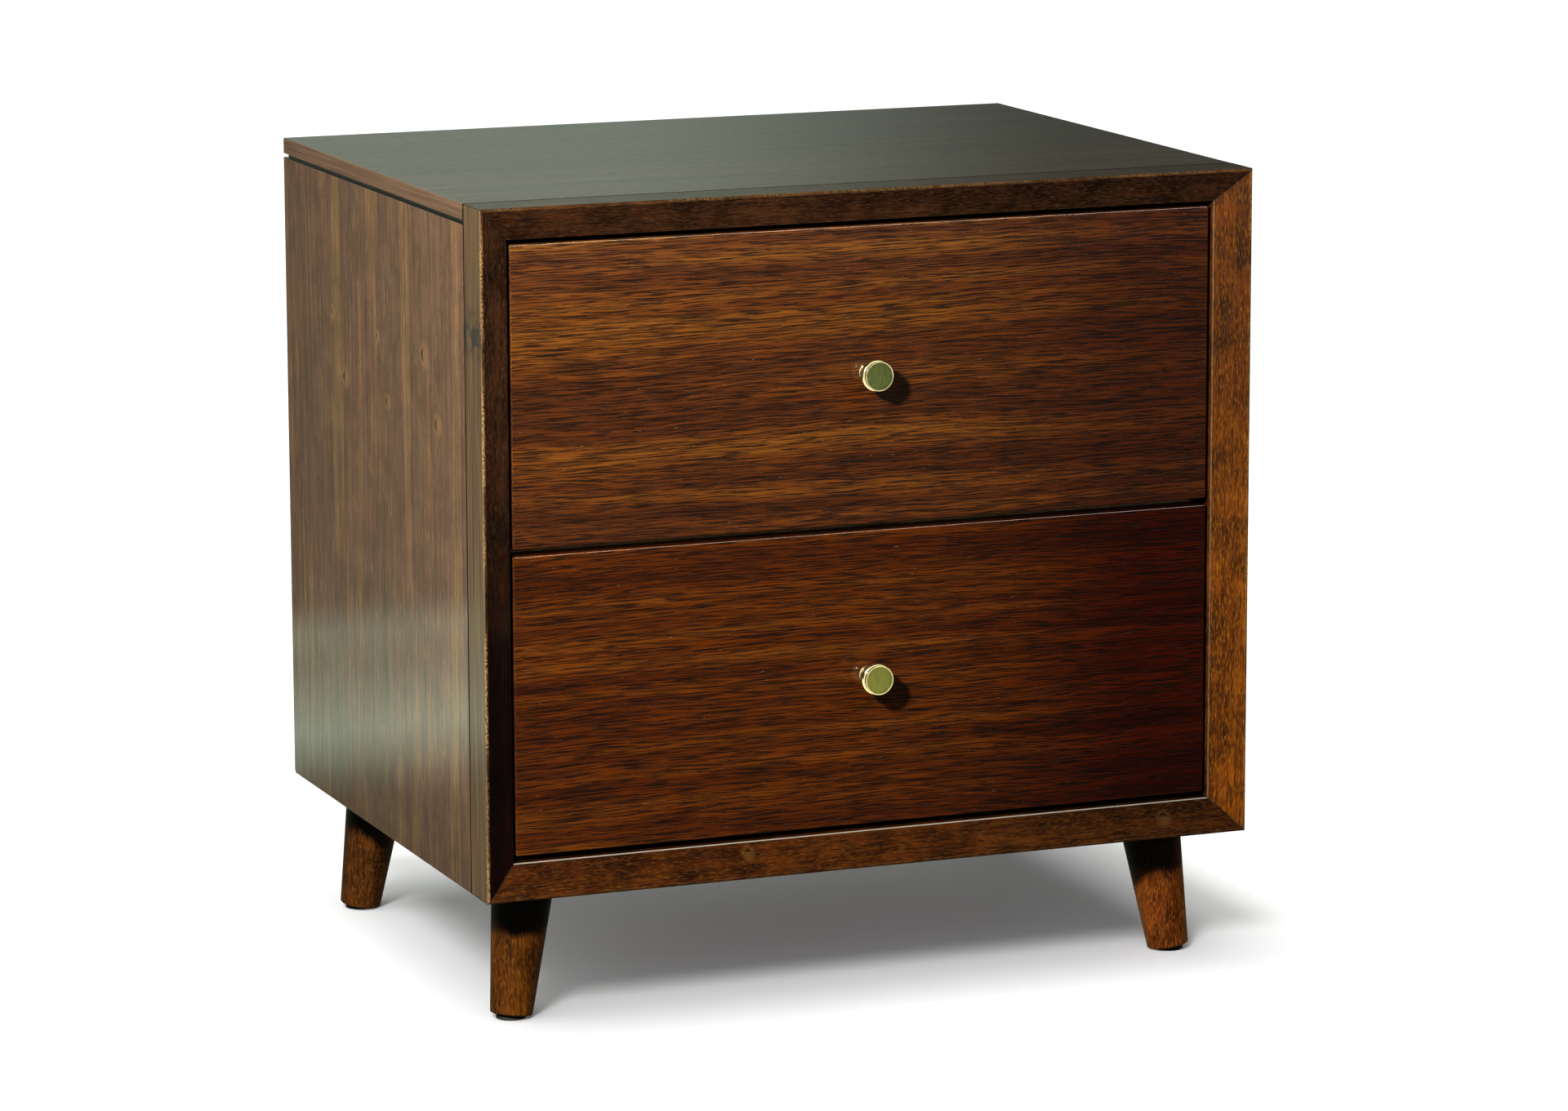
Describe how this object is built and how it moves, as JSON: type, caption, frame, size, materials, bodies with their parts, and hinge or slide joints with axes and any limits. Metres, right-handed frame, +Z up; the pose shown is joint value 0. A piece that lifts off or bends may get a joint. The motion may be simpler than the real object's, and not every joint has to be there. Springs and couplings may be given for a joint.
{
  "type": "nightstand",
  "caption": "Wooden nightstand with a bevelled front frame, inset drawers on ball slides, small brass knobs and splayed round legs.",
  "frame": {"origin": "on the floor, at the middle of the outline seen from above, knobs included", "axes": "+Z up, the drawers open towards -Y, +X to the right as seen from the front"},
  "size_m": [0.61, 0.477, 0.61],
  "materials": {
    "walnut_frame": "satin lacquer",
    "walnut_side": "satin lacquer",
    "walnut_top": "satin lacquer",
    "walnut_front": "satin lacquer",
    "back_board": "matt",
    "case_wood": "matt",
    "dowel_wood": "matt",
    "box_wood": "clear satin lacquer",
    "box_bottom": "clear satin lacquer",
    "knob_brass": "satin, aged",
    "black_steel": "satin black",
    "slide_steel": "zinc plated",
    "bearing_steel": "polished",
    "screw_steel": "zinc plated",
    "pad_rubber": "matt"
  },
  "bodies": {
    "case": {"back_left_leg": "walnut_frame", "back_panel": "back_board", "back_panel_screws": "screw_steel", "back_right_leg": "walnut_frame", "bottom_drawer_left_case_member": "slide_steel", "bottom_drawer_right_case_member": "slide_steel", "bottom_panel": "case_wood", "case_dowels": "dowel_wood", "case_slide_screws": "screw_steel", "corner_blocks": "case_wood", "drawer_divider": "case_wood", "foot_pads": "pad_rubber", "frame_bottom_rail": "walnut_frame", "frame_left_stile": "walnut_frame", "frame_right_stile": "walnut_frame", "frame_splines": "dowel_wood", "frame_top_rail": "walnut_frame", "front_left_leg": "walnut_frame", "front_right_leg": "walnut_frame", "left_side_panel": "walnut_side", "left_slide_spacers": "case_wood", "leg_hanger_bolts": "screw_steel", "leg_plate_screws": "screw_steel", "leg_plates": "black_steel", "rear_stretcher": "case_wood", "right_side_panel": "walnut_side", "right_slide_spacers": "case_wood", "top_drawer_left_case_member": "slide_steel", "top_drawer_right_case_member": "slide_steel", "top_panel": "walnut_top"},
    "top_drawer": {"top_drawer_bottom": "box_bottom", "top_drawer_box_back": "box_wood", "top_drawer_box_front": "box_wood", "top_drawer_front": "walnut_front", "top_drawer_knob": "knob_brass", "top_drawer_knob_screw": "screw_steel", "top_drawer_left_drawer_member": "slide_steel", "top_drawer_left_side": "box_wood", "top_drawer_right_drawer_member": "slide_steel", "top_drawer_right_side": "box_wood", "top_drawer_screws": "screw_steel"},
    "top_drawer_middle_slides": {"top_drawer_left_middle_member": "slide_steel", "top_drawer_right_middle_member": "slide_steel"},
    "top_drawer_outer_cages": {"top_drawer_outer_ball_cages": "bearing_steel"},
    "top_drawer_inner_cages": {"top_drawer_inner_ball_cages": "bearing_steel"},
    "bottom_drawer": {"bottom_drawer_bottom": "box_bottom", "bottom_drawer_box_back": "box_wood", "bottom_drawer_box_front": "box_wood", "bottom_drawer_front": "walnut_front", "bottom_drawer_knob": "knob_brass", "bottom_drawer_knob_screw": "screw_steel", "bottom_drawer_left_drawer_member": "slide_steel", "bottom_drawer_left_side": "box_wood", "bottom_drawer_right_drawer_member": "slide_steel", "bottom_drawer_right_side": "box_wood", "bottom_drawer_screws": "screw_steel"},
    "bottom_drawer_middle_slides": {"bottom_drawer_left_middle_member": "slide_steel", "bottom_drawer_right_middle_member": "slide_steel"},
    "bottom_drawer_outer_cages": {"bottom_drawer_outer_ball_cages": "bearing_steel"},
    "bottom_drawer_inner_cages": {"bottom_drawer_inner_ball_cages": "bearing_steel"}
  },
  "joints": [
    {"name": "top_drawer_slide", "type": "slide", "parent": "case", "child": "top_drawer", "axis": [0, -1, 0], "range_m": [0, 0.38]},
    {"name": "top_drawer_middle_slides_slide", "type": "slide", "parent": "case", "child": "top_drawer_middle_slides", "axis": [0, -1, 0], "range_m": [0, 0.19]},
    {"name": "top_drawer_outer_cages_slide", "type": "slide", "parent": "case", "child": "top_drawer_outer_cages", "axis": [0, -1, 0], "range_m": [0, 0.095]},
    {"name": "top_drawer_inner_cages_slide", "type": "slide", "parent": "case", "child": "top_drawer_inner_cages", "axis": [0, -1, 0], "range_m": [0, 0.285]},
    {"name": "bottom_drawer_slide", "type": "slide", "parent": "case", "child": "bottom_drawer", "axis": [0, -1, 0], "range_m": [0, 0.38]},
    {"name": "bottom_drawer_middle_slides_slide", "type": "slide", "parent": "case", "child": "bottom_drawer_middle_slides", "axis": [0, -1, 0], "range_m": [0, 0.19]},
    {"name": "bottom_drawer_outer_cages_slide", "type": "slide", "parent": "case", "child": "bottom_drawer_outer_cages", "axis": [0, -1, 0], "range_m": [0, 0.095]},
    {"name": "bottom_drawer_inner_cages_slide", "type": "slide", "parent": "case", "child": "bottom_drawer_inner_cages", "axis": [0, -1, 0], "range_m": [0, 0.285]}
  ],
  "couplings": [
    {"joint": "top_drawer_middle_slides_slide", "follows": "top_drawer_slide", "ratio": 0.5},
    {"joint": "top_drawer_outer_cages_slide", "follows": "top_drawer_slide", "ratio": 0.25},
    {"joint": "top_drawer_inner_cages_slide", "follows": "top_drawer_slide", "ratio": 0.75},
    {"joint": "bottom_drawer_middle_slides_slide", "follows": "bottom_drawer_slide", "ratio": 0.5},
    {"joint": "bottom_drawer_outer_cages_slide", "follows": "bottom_drawer_slide", "ratio": 0.25},
    {"joint": "bottom_drawer_inner_cages_slide", "follows": "bottom_drawer_slide", "ratio": 0.75}
  ]
}
